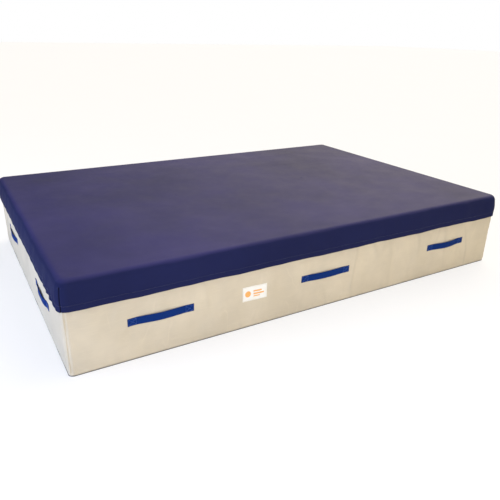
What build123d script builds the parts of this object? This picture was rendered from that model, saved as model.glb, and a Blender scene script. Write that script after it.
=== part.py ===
"""Gymnastics landing mat: a zipped canvas block of foam under a lift-off coated-fabric top cover.

Frame: origin at the centre of the underside, +Z up, +X along the long side, the front long side
faces -Y. Every size is in millimetres. Each sub-part is written to parts/NODE.step.
"""
from build123d import *
import os

# ---- the block -----------------------------------------------------------------------------
mat_length = 3000.0  # canvas block, along X
mat_width = 2000.0  # canvas block, along Y
mat_height = 500.0  # floor to the top of the cover
block_corner_radius = 26.0  # upright corners of the canvas
edge_step = 2.0  # the hidden top edge is this much tighter than the upright corners
canvas_thickness = 2.0  # side panels and the closing panel under the cover
seam_below_edge = 3.0  # end of the top edge's round to the seam of side and top panels
base_sheet_thickness = 3.0  # non-slip sheet that lies on the floor

# ---- foam core -----------------------------------------------------------------------------
core_slack = 6.0  # free space between the canvas and the foam, all round
foam_block_count = 3  # blocks set side by side along the mat
foam_sheet_count = 2  # firmer sheets glued over them, joints staggered
foam_sheet_thickness = 100.0

# ---- top cover -----------------------------------------------------------------------------
cover_thickness = 2.5  # coated fabric
cover_gap = 0.5  # between the cover and what it rests on or fastens to
skirt_depth = 150.0  # top of the cover down to its hem
cover_corner_ease = 13.5  # the cover's upright corners are this much looser than the block's
cover_edge_ease = 8.0  # the same for its top edge
hem_height = 40.0
hem_fold_thickness = 5.0  # two more layers, turned inside

# ---- hook-and-loop tape between the block and the skirt ------------------------------------
tape_height = 32.0
hook_thickness = 3.5
loop_thickness = 4.0
tape_end_inset = 150.0  # each strip stops this far from the corner

# ---- carrying handles ----------------------------------------------------------------------
handle_length = 350.0  # over both sewn ends
webbing_width = 42.0
webbing_thickness = 2.5
sewn_end_length = 50.0
handle_height = 215.0  # floor to the webbing's centre line
handle_bow = 11.0  # finger gap at the middle of the strap
strap_wall_gap = 0.5  # between the strap's ends and the canvas
strap_end_gap = 0.5  # between the strap and its sewn ends
long_side_inset = 470.0  # corner to the centre of the outer handles, front and rear
short_side_inset = 500.0  # the same, left and right
stitch_width = 1.4
stitch_height = 0.5
stitch_margin = 5.0  # edge of the webbing to the stitching
patch_margin = 8.0  # backing patch beyond the sewn end, each way
patch_thickness = 1.5

# ---- label ---------------------------------------------------------------------------------
label_length = 152.0
label_height = 85.0
label_thickness = 1.0
label_offset = -490.0  # along X from the middle of the front
label_centre_height = 210.0

# ---- zip along the rear --------------------------------------------------------------------
zip_height = 95.0  # floor to the chain's centre line
zip_slit = 18.0  # height of the slit in the rear panel
zip_end_margin = 12.0  # corner curve to the chain's end
slit_end_gap = 1.0  # chain's end to the slit's end
tape_end_overlap = 7.0  # zip tape sewn behind the panel past each end of the chain
tape_overlap = 11.0  # the same above and below the slit
zip_tape_thickness = 1.0
coil_width = 3.5  # one side of the chain
coil_thickness = 3.6
coil_rounding = 1.2
coil_gap = 2.0  # slot the slider's post runs in
stop_length = 6.0
stop_clearance = 0.6  # slider to end stop, at each end of its travel
slider_length = 24.0
slider_plate = 1.5
slider_corner_radius = 3.0
slider_clearance = 0.5  # between the slider and the coils and tapes
post_length = 7.0
bridge_length = 9.0
bridge_height = 6.0
bridge_width = 4.0
bridge_rounding = 2.4
pull_pin_radius = 1.1
pull_pin_clearance = 0.25
pull_length = 34.0
pull_width = 10.0
pull_thickness = 1.6
pull_corner_radius = 3.0
pull_arm_width = 1.6  # each of the arms that straddle the bridge
pull_grip_hole_radius = 2.0
pull_grip_hole_inset = 6.0  # end of the tongue to the middle of the hole

# ---- what follows from those sizes ---------------------------------------------------------
block_edge_radius = block_corner_radius - edge_step
block_top = mat_height - cover_thickness - cover_gap
side_bottom = base_sheet_thickness
core_top = block_top - canvas_thickness
side_top = block_top - block_edge_radius - seam_below_edge
hem_z = mat_height - skirt_depth
hem_thickness = cover_thickness + hem_fold_thickness
overhang = hem_thickness + hook_thickness + cover_gap + loop_thickness
cover_corner_radius = block_corner_radius + overhang + cover_corner_ease
cover_edge_radius = block_edge_radius + cover_edge_ease
tape_z = hem_z + hem_height / 2
SIDE_TURN = {"front": 0, "right": 90, "rear": 180, "left": 270}


def half_depth(side):
    """Distance from the mat's centre to the canvas on that side."""
    return mat_width / 2 if side in ("front", "rear") else mat_length / 2


def half_run(side):
    """Half the length of the canvas along that side."""
    return mat_length / 2 if side in ("front", "rear") else mat_width / 2


def on_side(shape, side, along=0.0, z=0.0):
    """Places a shape drawn against the front wall (local Y = 0, outward -Y) on any side."""
    return Rot(0, 0, SIDE_TURN[side]) * Pos(along, -half_depth(side), z) * shape


def slab(length, y_from, y_to, z_from, z_to, x_centre=0.0):
    """A box given by its length along X and its faces in Y and Z."""
    centre = Pos(x_centre, (y_from + y_to) / 2, (z_from + z_to) / 2)
    return centre * Box(length, abs(y_to - y_from), z_to - z_from)


def rounded_prism(outset, radius, z_from, z_to):
    """The mat's plan, grown by outset on every side, as a prism with rounded upright corners."""
    plan = RectangleRounded(mat_length + 2 * outset, mat_width + 2 * outset, radius)
    return Pos(0, 0, z_from) * extrude(plan, z_to - z_from)


def soft_prism(outset, corner_radius, edge_radius, z_from, z_to):
    """The same prism with its top edge rounded as well."""
    prism = rounded_prism(outset, corner_radius, z_from, z_to)
    return fillet(prism.faces().sort_by(Axis.Z)[-1].edges(), edge_radius)


def upright_plate(sketch, y_from, y_to):
    """A sketch stood upright, its own Y turned to +Z, and given its two faces in Y."""
    return Pos(0, y_to, 0) * (Rot(90, 0, 0) * extrude(sketch, y_to - y_from))


def side_wedge(side):
    """Everything nearer to that side than to its neighbours, cut off at 45 degrees at the corners."""
    run, depth = half_run(side), half_depth(side)
    reach = 2 * cover_corner_radius
    outline = Polyline(
        (-run - reach, -depth - reach),
        (run + reach, -depth - reach),
        (run - reach, reach - depth),
        (reach - run, reach - depth),
        close=True,
    )
    return Rot(0, 0, SIDE_TURN[side]) * extrude(make_face(outline), mat_height)


# ---- canvas bag ----------------------------------------------------------------------------
def canvas_bag():
    """Sides and top of the bag in one piece, before it is cut at its seams."""
    inset = canvas_thickness
    outer = soft_prism(0, block_corner_radius, block_edge_radius, side_bottom, block_top)
    hollow_radii = (block_corner_radius - inset, block_edge_radius - inset)
    return outer - soft_prism(-inset, *hollow_radii, side_bottom, core_top)


def canvas_nodes():
    """Top, bottom and side panels; the rear one has a slit that the zip closes."""
    bag = canvas_bag()
    above_seam = rounded_prism(overhang, cover_corner_radius, side_top, mat_height)
    wall = bag - above_seam
    nodes = {f"{side}_panel": wall & side_wedge(side) for side in SIDE_TURN}
    slit_length = 2 * (zip_half_length + slit_end_gap)
    slit_low, slit_high = zip_height - zip_slit / 2, zip_height + zip_slit / 2
    nodes["rear_panel"] -= slab(slit_length, 0, mat_width, slit_low, slit_high)
    nodes["block_top_panel"] = bag & above_seam
    nodes["bottom_sheet"] = rounded_prism(0, block_corner_radius, 0, base_sheet_thickness)
    return nodes


# ---- foam ----------------------------------------------------------------------------------
def foam_row(core, count, z_from, z_to):
    """Equal foam pieces side by side along X, rounded where they reach the core's edges."""
    length = (mat_length - 2 * (canvas_thickness + core_slack)) / count
    centres = [length * (i - (count - 1) / 2) for i in range(count)]
    half = mat_width / 2
    return [core & slab(length, -half, half, z_from, z_to, x) for x in centres]


def foam_nodes():
    inset = canvas_thickness + core_slack
    radii = (block_corner_radius - inset, block_edge_radius - inset)
    core = soft_prism(-inset, *radii, base_sheet_thickness, core_top)
    joint_z = core_top - foam_sheet_thickness
    blocks = foam_row(core, foam_block_count, base_sheet_thickness, joint_z)
    sheets = foam_row(core, foam_sheet_count, joint_z, core_top)
    nodes = {f"foam_block_{i + 1}": block for i, block in enumerate(blocks)}
    nodes.update({f"foam_top_sheet_{i + 1}": sheet for i, sheet in enumerate(sheets)})
    return nodes


# ---- top cover -----------------------------------------------------------------------------
def cover_shell():
    """The whole cover: top, skirt and the hem turned inside."""
    inset = cover_thickness
    hem_top = hem_z + hem_height
    outer = soft_prism(overhang, cover_corner_radius, cover_edge_radius, hem_z, mat_height)
    hollow_radii = (cover_corner_radius - inset, cover_edge_radius - inset)
    hollow = soft_prism(overhang - inset, *hollow_radii, hem_top, mat_height - inset)
    hem_radius = cover_corner_radius - hem_thickness
    return outer - hollow - rounded_prism(overhang - hem_thickness, hem_radius, hem_z, hem_top)


def cover_nodes():
    shell = cover_shell()
    seam_inset = overhang - cover_edge_radius
    flat = rounded_prism(seam_inset, cover_corner_radius - cover_edge_radius, hem_z, mat_height)
    nodes = {"cover_top_panel": shell & flat}
    skirt = shell - flat
    nodes.update({f"cover_skirt_{side}": skirt & side_wedge(side) for side in SIDE_TURN})
    return nodes


# ---- hook-and-loop tape --------------------------------------------------------------------
def tape_nodes():
    """Loop tape on the canvas and hook tape inside the skirt's hem, face to face."""
    low, high = tape_z - tape_height / 2, tape_z + tape_height / 2
    nodes = {}
    for side in SIDE_TURN:
        length = 2 * (half_run(side) - tape_end_inset)
        hook_face = -loop_thickness - cover_gap
        loop = slab(length, -loop_thickness, 0, low, high)
        hook = slab(length, hook_face - hook_thickness, hook_face, low, high)
        nodes[f"loop_tape_{side}"] = on_side(loop, side)
        nodes[f"hook_tape_{side}"] = on_side(hook, side)
    return nodes


# ---- handles -------------------------------------------------------------------------------
def handle_places():
    """Handle name -> (side, distance along the wall in that side's own direction)."""
    long_reach = mat_length / 2 - long_side_inset
    short_reach = mat_width / 2 - short_side_inset
    return {
        "front_left": ("front", -long_reach),
        "front_middle": ("front", 0.0),
        "front_right": ("front", long_reach),
        "rear_left": ("rear", long_reach),
        "rear_middle": ("rear", 0.0),
        "rear_right": ("rear", -long_reach),
        "left_front": ("left", short_reach),
        "left_rear": ("left", -short_reach),
        "right_front": ("right", -short_reach),
        "right_rear": ("right", short_reach),
    }


def end_centres():
    reach = (handle_length - sewn_end_length) / 2
    return (-reach, reach)


def sewn_end(x):
    half = webbing_width / 2
    return slab(sewn_end_length, -webbing_thickness, 0, -half, half, x)


def strap_span():
    """The free part of the strap, bowed off the wall to leave room for fingers."""
    reach = handle_length / 2 - sewn_end_length - strap_end_gap
    near, far = -strap_wall_gap, -handle_bow
    thick = webbing_thickness
    inner = ThreePointArc((-reach, near), (0, far), (reach, near))
    outer = ThreePointArc((reach, near - thick), (0, far - thick), (-reach, near - thick))
    ends = [Line(inner @ 1, outer @ 0), Line(outer @ 1, inner @ 0)]
    face = make_face([inner, outer, *ends])
    return Pos(0, 0, -webbing_width / 2) * extrude(face, webbing_width)


def box_stitch(x):
    """The square-and-cross stitching that holds one end of a strap."""
    length = sewn_end_length - 2 * stitch_margin
    height = webbing_width - 2 * stitch_margin
    diagonal = (length**2 + height**2) ** 0.5
    rise = Vector(length, height).get_angle(Vector(1, 0))
    frame = Rectangle(length, height) - Rectangle(length - 2 * stitch_width, height - 2 * stitch_width)
    bars = [Rot(0, 0, turn) * Rectangle(diagonal, stitch_width) for turn in (rise, -rise)]
    figure = frame + ((bars[0] + bars[1]) & Rectangle(length, height))
    face = -webbing_thickness
    return Pos(x, 0, 0) * upright_plate(figure, face - stitch_height, face)


def backing_patch(x):
    height = webbing_width / 2 + patch_margin
    length = sewn_end_length + 2 * patch_margin
    return slab(length, canvas_thickness, canvas_thickness + patch_thickness, -height, height, x)


def handle_nodes():
    nodes, stitches, patches = {}, [], []
    for name, (side, along) in handle_places().items():
        nodes[f"handle_{name}_strap"] = on_side(strap_span(), side, along, handle_height)
        ends = [on_side(sewn_end(x), side, along, handle_height) for x in end_centres()]
        nodes[f"handle_{name}_ends"] = Compound(children=ends)
        stitches += [on_side(box_stitch(x), side, along, handle_height) for x in end_centres()]
        patches += [on_side(backing_patch(x), side, along, handle_height) for x in end_centres()]
    nodes["handle_stitching"] = Compound(children=stitches)
    nodes["handle_backing_patches"] = Compound(children=patches)
    return nodes


def label_node():
    half = label_height / 2
    patch = slab(label_length, -label_thickness, 0, -half, half)
    return {"label_patch": on_side(patch, "front", label_offset, label_centre_height)}


# ---- zip -----------------------------------------------------------------------------------
# The zip is drawn against the front wall (outward -Y) around Z = 0 and then turned to the rear.
tape_plane = canvas_thickness + zip_tape_thickness / 2
coil_inner, coil_outer = coil_gap / 2, coil_gap / 2 + coil_width
coil_face = tape_plane - coil_thickness / 2  # outward face of the coils
coil_back = tape_plane + coil_thickness / 2
slider_half_width = coil_outer + slider_clearance + slider_plate
zip_half_length = mat_length / 2 - block_corner_radius - zip_end_margin
stop_centre = zip_half_length - stop_length / 2
slider_reach = stop_centre - stop_length / 2 - stop_clearance - slider_length / 2
pull_axis = coil_face - slider_clearance - slider_plate - bridge_height / 2


def zip_strip(sign):
    """One tape and one coil; sign is +1 above the chain and -1 below it."""
    length = 2 * zip_half_length
    tape_length = length + 2 * tape_end_overlap
    far = zip_slit / 2 + tape_overlap
    tape_y = (canvas_thickness, canvas_thickness + zip_tape_thickness)
    tape_z_span = sorted((sign * coil_outer, sign * far))
    coil_z_span = sorted((sign * coil_inner, sign * coil_outer))
    tape = slab(tape_length, *tape_y, *tape_z_span)
    coil = slab(length - 2 * stop_length, coil_face, coil_back, *coil_z_span)
    return tape, fillet(coil.edges().filter_by(Axis.X), coil_rounding)


def end_stop(sign):
    """A block that bridges both coils' ends and stops the slider."""
    return slab(stop_length, coil_face, coil_back, -coil_outer, coil_outer, sign * stop_centre)


def slider_body():
    """Two plates joined by flanges outside the coils and a post between them, with a bridge."""
    front = coil_face - slider_clearance
    back = coil_back + slider_clearance
    outline = RectangleRounded(slider_length, 2 * slider_half_width, slider_corner_radius)
    body = upright_plate(outline, front - slider_plate, front)
    body += upright_plate(outline, back, back + slider_plate)
    flange_length = slider_length - 2 * slider_corner_radius
    flange_inner = slider_half_width - slider_plate
    tape_near = canvas_thickness - slider_clearance
    tape_far = canvas_thickness + zip_tape_thickness + slider_clearance
    for low, high in ((flange_inner, slider_half_width), (-slider_half_width, -flange_inner)):
        body += slab(flange_length, front, tape_near, low, high)
        body += slab(flange_length, tape_far, back, low, high)
    post_half = coil_gap / 2 - slider_clearance
    post_x = flange_length / 2 - post_length / 2
    body += slab(post_length, front, back, -post_half, post_half, post_x)
    plate_face = front - slider_plate
    bridge_half = bridge_width / 2
    bridge = slab(bridge_length, plate_face - bridge_height, plate_face, -bridge_half, bridge_half)
    bridge = fillet(bridge.edges().filter_by(Axis.Z).sort_by(Axis.Y)[:2], bridge_rounding)
    hole = Pos(0, pull_axis, 0) * Cylinder(pull_pin_radius + pull_pin_clearance, bridge_width)
    return body + (bridge - hole)


def pull_tab():
    """The pull: a pin through the bridge, two arms that straddle it and a rounded tongue."""
    inner_half = bridge_width / 2 + pull_pin_clearance
    outer_half = inner_half + pull_arm_width
    arm_end = -(bridge_length / 2 + pull_pin_radius + pull_arm_width)
    tongue_shape = RectangleRounded(pull_length, pull_width, pull_corner_radius)
    tongue = Pos(arm_end - pull_length / 2, 0) * tongue_shape
    hole_x = arm_end - pull_length + pull_grip_hole_inset
    grip_hole = Pos(hole_x, 0) * Circle(pull_grip_hole_radius)
    arm_length = pull_pin_radius - arm_end + pull_arm_width
    arms = Pos(pull_pin_radius - arm_length / 2, 0) * Rectangle(arm_length, 2 * outer_half)
    between_shape = Rectangle(2 * pull_pin_radius - arm_end, 2 * inner_half)
    between = Pos(arm_end / 2 + pull_pin_radius, 0) * between_shape
    outline = tongue + arms - between - grip_hole
    plate = upright_plate(outline, -pull_thickness / 2, pull_thickness / 2)
    return Pos(0, pull_axis, 0) * (plate + Cylinder(pull_pin_radius, 2 * outer_half))


def zip_nodes():
    tape_upper, coil_upper = zip_strip(+1)
    tape_lower, coil_lower = zip_strip(-1)
    shapes = {
        "zip_tape_upper": tape_upper,
        "zip_tape_lower": tape_lower,
        "zip_coil_upper": coil_upper,
        "zip_coil_lower": coil_lower,
        "zip_end_stops": Compound(children=[end_stop(-1), end_stop(+1)]),
        "zip_slider": Pos(slider_reach, 0, 0) * slider_body(),
        "zip_pull_tab": Pos(slider_reach, 0, 0) * pull_tab(),
    }
    return {name: on_side(shape, "rear", z=zip_height) for name, shape in shapes.items()}


def main():
    nodes = {
        **canvas_nodes(), **foam_nodes(), **cover_nodes(), **tape_nodes(),
        **handle_nodes(), **label_node(), **zip_nodes(),
    }
    os.makedirs("parts", exist_ok=True)
    for name, shape in nodes.items():
        export_step(shape, f"parts/{name}.step")
    print(len(nodes), "nodes, cover overhang", overhang)
    print("slider travel", 2 * slider_reach, "from x", -slider_reach)
    print("pull axis at y", mat_width / 2 - pull_axis, "z", zip_height)


main()
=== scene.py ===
import math

import bpy
import numpy as np
from mathutils import Matrix, Vector


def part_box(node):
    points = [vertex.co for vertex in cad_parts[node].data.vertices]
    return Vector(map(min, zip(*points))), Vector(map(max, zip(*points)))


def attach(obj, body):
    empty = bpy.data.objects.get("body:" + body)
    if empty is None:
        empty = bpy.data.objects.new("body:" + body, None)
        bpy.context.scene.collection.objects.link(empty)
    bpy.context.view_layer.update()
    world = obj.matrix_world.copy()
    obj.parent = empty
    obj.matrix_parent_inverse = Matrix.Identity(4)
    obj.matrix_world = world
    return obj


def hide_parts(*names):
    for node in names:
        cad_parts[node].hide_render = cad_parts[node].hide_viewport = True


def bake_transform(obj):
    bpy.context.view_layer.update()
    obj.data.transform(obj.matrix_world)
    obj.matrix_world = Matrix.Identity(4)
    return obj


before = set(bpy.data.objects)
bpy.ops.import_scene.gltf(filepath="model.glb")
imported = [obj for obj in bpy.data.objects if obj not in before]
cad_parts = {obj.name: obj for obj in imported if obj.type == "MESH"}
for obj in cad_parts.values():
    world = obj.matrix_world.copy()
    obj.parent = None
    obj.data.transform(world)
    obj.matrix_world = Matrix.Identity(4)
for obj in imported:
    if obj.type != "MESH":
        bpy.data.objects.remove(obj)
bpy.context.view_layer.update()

# Sizes and places are in metres and in the row frame: +X along the front long side, -Y to the front.

# ---- what the frame says
BLOCK_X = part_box("bottom_sheet")[1].x
BLOCK_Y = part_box("bottom_sheet")[1].y
SHEET_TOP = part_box("bottom_sheet")[1].z
SEAM_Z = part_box("front_panel")[1].z
BLOCK_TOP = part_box("block_top_panel")[1].z
COVER_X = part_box("cover_skirt_right")[1].x
COVER_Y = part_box("cover_skirt_rear")[1].y
COVER_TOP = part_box("cover_top_panel")[1].z
HEM_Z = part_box("cover_skirt_front")[0].z
TAPE_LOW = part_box("loop_tape_front")[0].z
TAPE_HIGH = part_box("loop_tape_front")[1].z
ZIP_Z = (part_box("zip_tape_upper")[1].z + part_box("zip_tape_lower")[0].z) / 2
CHAIN_HALF_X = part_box("zip_coil_upper")[1].x

SIDES = {"front": 0, "right": 1, "rear": 2, "left": 3}
HANDLES = [
    name[len("handle_"):-len("_strap")]
    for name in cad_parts
    if name.startswith("handle_") and name.endswith("_strap")
]

# ---- cloth and trim sizes
SLIT_HALF_Z = 0.009
SLIT_HALF_X = 1.463
CANVAS_THICK = 0.0014
BLOCK_CORNER = 0.026
BLOCK_TOP_EDGE = 0.034
COVER_THICK = 0.0022
COVER_CORNER = 0.057
COVER_EDGE = 0.040
SKIRT_HEM = 0.036
HEM_THICK = 0.0016
STRAP_LONG = 0.350
STRAP_WIDE = 0.042
STRAP_THICK = 0.0024
STRAP_BOW = 0.0065
STRAP_DROOP = 0.0006
SEWN_LONG = 0.050
FREE_HALF = STRAP_LONG / 2 - SEWN_LONG
STITCH_PITCH = 0.0045
STITCH_FILLED = 0.72
THREAD = 0.0006
SUNK = 0.0001  # stitches start this far out from the cloth's face
TOOTH_PITCH = 0.003
BAR_SIDES = 4  # of a stitch or a tooth; four, so that its ends are quads too


# ---- mesh helpers
def make_object(name, points, faces, material, uv=None, smooth=True):
    """A mesh object from points and faces; uv holds one pair per point, in metres of cloth."""
    mesh = bpy.data.meshes.new(name)
    mesh.from_pydata(np.asarray(points, float).reshape(-1, 3).tolist(), [], [tuple(f) for f in faces])
    mesh.update()
    if smooth:
        mesh.polygons.foreach_set("use_smooth", [True] * len(mesh.polygons))
    if uv is not None:
        layer = mesh.uv_layers.new(name="cloth")
        corner_points = np.zeros(len(mesh.loops), np.int32)
        mesh.loops.foreach_get("vertex_index", corner_points)
        layer.data.foreach_set("uv", np.asarray(uv, np.float32).reshape(-1, 2)[corner_points].ravel())
    mesh.materials.append(material)
    obj = bpy.data.objects.new(name, mesh)
    bpy.context.scene.collection.objects.link(obj)
    return obj


def thicken(obj, thickness):
    """Gives a sheet its thickness, away from the side its faces look to."""
    solid = obj.modifiers.new("thickness", "SOLIDIFY")
    solid.thickness = thickness
    solid.offset = -1
    solid.use_rim = True
    solid.use_even_offset = False


def add_piece(name, points, faces, material, body, slot, uv=None, thickness=0.0, stands_for=()):
    """A piece that moves with one body, and the CAD nodes that it stands for."""
    piece = make_object(name, points, faces, material, uv)
    if thickness:
        thicken(piece, thickness)
    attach(piece, body)
    if stands_for:
        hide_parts(*stands_for)
    return piece


def grid_faces(rows, columns, closed=False):
    """Quads of a grid of points stored row by row; closed joins the last column to the first."""
    faces = []
    spans = columns if closed else columns - 1
    for r in range(rows - 1):
        low, high = r * columns, (r + 1) * columns
        for c in range(spans):
            d = (c + 1) % columns
            faces.append((low + c, low + d, high + d, high + c))
    return faces


def bar_faces(rings, count):
    """Faces of a row of separate bars, each a stack of rings closed at both ends."""
    size = BAR_SIDES * rings
    one = grid_faces(rings, BAR_SIDES, closed=True)
    one += [tuple(range(BAR_SIDES))[::-1], tuple(range(size - BAR_SIDES, size))]
    return (np.array(one)[None, :, :] + (np.arange(count) * size)[:, None, None]).reshape(-1, BAR_SIDES)


def merged(parts):
    """One list of points and one of faces from several."""
    points, faces, base = [], [], 0
    for part_points, part_faces in parts:
        points.append(np.asarray(part_points, float).reshape(-1, 3))
        faces += [tuple(i + base for i in f) for f in np.asarray(part_faces).tolist()]
        base += len(points[-1])
    return np.concatenate(points), faces


def unit(vectors):
    return vectors / np.maximum(np.linalg.norm(vectors, axis=-1, keepdims=True), 1e-9)


def half_side(side, half_x, half_y):
    return half_x if side in ("front", "rear") else half_y


def turned(side, points):
    """Points drawn against the front wall (Y = 0 on the wall, outward -Y) moved to a side."""
    p = np.asarray(points, float)
    x, y, z = p[..., 0], p[..., 1] - half_side(side, BLOCK_Y, BLOCK_X), p[..., 2]
    quarters = ((x, y, z), (-y, x, z), (-x, -y, z), (y, -x, z))
    return np.stack(quarters[SIDES[side]], axis=-1)


def along_side(side, x, y):
    """Distance along a side, to the right seen from outside, of a place in the frame."""
    return {"front": x, "right": y, "rear": -x, "left": -y}[side]


def handle_place(name):
    """(side, distance along it, height) of a handle's middle, from its CAD strap."""
    side = name.split("_")[0]
    low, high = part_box(f"handle_{name}_strap")
    middle = (low + high) / 2
    return side, along_side(side, middle.x, middle.y), middle.z


def sewn_ends(side):
    """(direction, distance along the side, height) of each sewn strap end on one side."""
    places = [handle_place(name) for name in HANDLES]
    return [
        (end, place + end * (STRAP_LONG - SEWN_LONG) / 2, height)
        for handle_side, place, height in places if handle_side == side
        for end in (-1, 1)
    ]


# ---- node materials
CANVAS_COLOUR = (0.63, 0.55, 0.40)
NAVY = (0.0115, 0.0145, 0.057)
# lighter lilac tone for upward faces of the cover: partly dust, partly painted sheen
DUST_AND_SHEEN = (0.043, 0.037, 0.150)
WEBBING_BLUE = (0.006, 0.032, 0.170)
SHEEN_ROUGHNESS = 0.45


def linked_node(tree, kind, values=(), links=()):
    """A new node with some inputs set and some linked, both given as (input, value) pairs."""
    node = tree.nodes.new(kind)
    for name, value in values:
        node.inputs[name].default_value = value
    for name, output in links:
        tree.links.new(output, node.inputs[name])
    return node


def spread(tree, value, low, high, out_low, out_high):
    """A value from low to high, moved to run from out_low to out_high and kept between them."""
    values = [("From Min", low), ("From Max", high), ("To Min", out_low), ("To Max", out_high)]
    return linked_node(tree, "ShaderNodeMapRange", values, [("Value", value)]).outputs["Result"]


def calculated(tree, operation, *values):
    """A math node's result; each value is a number or a node's output."""
    node = tree.nodes.new("ShaderNodeMath")
    node.operation = operation
    for socket, value in zip(node.inputs, values):
        if isinstance(value, (int, float)):
            socket.default_value = value
        else:
            tree.links.new(value, socket)
    return node.outputs["Value"]


class Shade:
    """A Principled material under construction, with short calls for its texture nodes."""

    def __init__(self, name, roughness=0.8, specular=0.3, sheen=0.0, metallic=0.0):
        self.material = bpy.data.materials.new(name)
        self.material.use_nodes = True
        self.tree = self.material.node_tree
        self.shader = self.tree.nodes["Principled BSDF"]
        levels = {
            "Roughness": roughness, "Specular IOR Level": specular, "Sheen Weight": sheen,
            "Sheen Roughness": SHEEN_ROUGHNESS, "Metallic": metallic,
        }
        for socket, level in levels.items():
            self.shader.inputs[socket].default_value = level
        self.coordinates = self.tree.nodes.new("ShaderNodeTexCoord")

    def link(self, output, socket):
        self.tree.links.new(output, socket)

    def place(self, scale=(1, 1, 1), source="Object", turn=0.0):
        """Texture coordinates in metres, scaled and turned about Z."""
        values = [("Scale", scale), ("Rotation", (0, 0, turn))]
        links = [("Vector", self.coordinates.outputs[source])]
        return linked_node(self.tree, "ShaderNodeMapping", values, links).outputs["Vector"]

    def noise(self, scale, detail, roughness=0.55, at=None):
        values = [("Scale", scale), ("Detail", detail), ("Roughness", roughness)]
        links = [("Vector", self.place() if at is None else at)]
        return linked_node(self.tree, "ShaderNodeTexNoise", values, links).outputs["Fac"]

    def ribs(self, pitch, source="UV", along="X", distortion=0.0, turn=0.0):
        """Sine ribs of the given pitch in metres, across one direction of the cloth."""
        values = [("Scale", math.pi / (10 * pitch)), ("Distortion", distortion)]
        links = [("Vector", self.place(source=source, turn=turn))]
        node = linked_node(self.tree, "ShaderNodeTexWave", values, links)
        node.wave_type = "BANDS"
        node.bands_direction = along
        node.wave_profile = "SIN"
        return node.outputs["Fac"]

    def math(self, operation, *values):
        return calculated(self.tree, operation, *values)

    def span(self, value, low, high, out_low=0.0, out_high=1.0):
        return spread(self.tree, value, low, high, out_low, out_high)

    def creases(self, scale, width):
        """Thin wandering lines where a soft noise crosses its middle, broken up by a second one."""
        wander = self.noise(scale, 1.5, 0.4, at=self.place((1.5, 1.5, 0.45)))
        away = self.math("ABSOLUTE", self.math("SUBTRACT", wander, 0.5))
        line = self.span(away, 0.0, width, 1.0, 0.0)
        patchy = self.span(self.noise(scale * 0.8, 2.0), 0.45, 0.62)
        return self.math("MULTIPLY", line, patchy)

    def facing_up(self, low, high):
        """0 on walls and 1 on upward faces, between the given upward parts of the normal."""
        links = [("Vector", self.coordinates.outputs["Normal"])]
        split = linked_node(self.tree, "ShaderNodeSeparateXYZ", links=links)
        return self.span(split.outputs["Z"], low, high)

    def blend(self, share, first, second):
        """Two colours, each a tuple or a node's output, mixed by a share."""
        node = self.tree.nodes.new("ShaderNodeMix")
        node.data_type = "RGBA"
        self.link(share, node.inputs["Factor"])
        for socket, value in ((node.inputs[6], first), (node.inputs[7], second)):
            if isinstance(value, tuple):
                socket.default_value = (*value, 1)
            else:
                self.link(value, socket)
        return node.outputs[2]

    def over(self, texture, low, high, first, second, shares=(0.0, 1.0)):
        """Two colours mixed as a texture runs from low to high."""
        return self.blend(self.span(texture, low, high, *shares), first, second)

    def colour(self, output):
        self.link(output, self.shader.inputs["Base Color"])

    def rough(self, output):
        self.link(output, self.shader.inputs["Roughness"])

    def bump(self, height, distance, strength):
        """Adds a bump layer; later layers build on the earlier ones."""
        values = [("Distance", distance), ("Strength", strength)]
        node = linked_node(self.tree, "ShaderNodeBump", values, [("Height", height)])
        earlier = self.shader.inputs["Normal"].links
        if earlier:
            self.link(earlier[0].from_socket, node.inputs["Normal"])
        self.link(node.outputs["Normal"], self.shader.inputs["Normal"])


def scaled(colour, factor):
    return tuple(min(1.0, c * factor) for c in colour)


def tinted(colour, red, green, blue):
    return (colour[0] * red, colour[1] * green, colour[2] * blue)


def woven(shade, pitch, source, depth=0.0002, strength=0.6):
    """A plain weave: crossed ribs, each yarn a little uneven."""
    warp = shade.ribs(pitch, source, "X", distortion=0.4)
    weft = shade.ribs(pitch, source, "Y", distortion=0.4)
    cross = shade.math("MULTIPLY", warp, weft)
    shade.bump(cross, depth, strength)
    return cross


def canvas_material(name, base, source="UV"):
    """Heavy cotton canvas: plain weave, slubs, faint soiling, a little fading and painted shade along its
    creases.
    """
    shade = Shade(name, roughness=0.9, specular=0.1)
    weave = woven(shade, 0.0016, source)
    slub = shade.noise(1.0, 2.0, at=shade.place((9, 260, 260)))
    cloud = shade.noise(2.2, 4.0, 0.6)
    soil = shade.noise(11.0, 5.0, 0.65)
    crease = shade.creases(2.6, 0.035)
    fold_mark = shade.creases(6.5, 0.02)
    tone = shade.over(cloud, 0.38, 0.64, scaled(base, 0.91), scaled(base, 1.07))
    tone = shade.over(soil, 0.56, 0.80, tone, scaled(tinted(base, 1, 0.97, 0.9), 0.84), (0.0, 0.35))
    tone = shade.over(weave, 0.0, 0.5, tone, scaled(base, 0.72), (0.12, 0.0))
    tone = shade.over(slub, 0.52, 0.75, tone, scaled(base, 1.12), (0.0, 0.22))
    # painted shade: the canvas is darkened along its creases
    tone = shade.over(crease, 0, 1, tone, scaled(base, 0.62), (0.0, 0.26))
    tone = shade.over(fold_mark, 0, 1, tone, scaled(base, 1.2), (0.0, 0.20))
    shade.colour(tone)
    shade.bump(crease, 0.0040, 0.5)
    shade.bump(fold_mark, 0.0012, 0.30)
    shade.bump(slub, 0.0005, 0.25)
    shade.bump(soil, 0.002, 0.12)
    return shade.material


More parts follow.
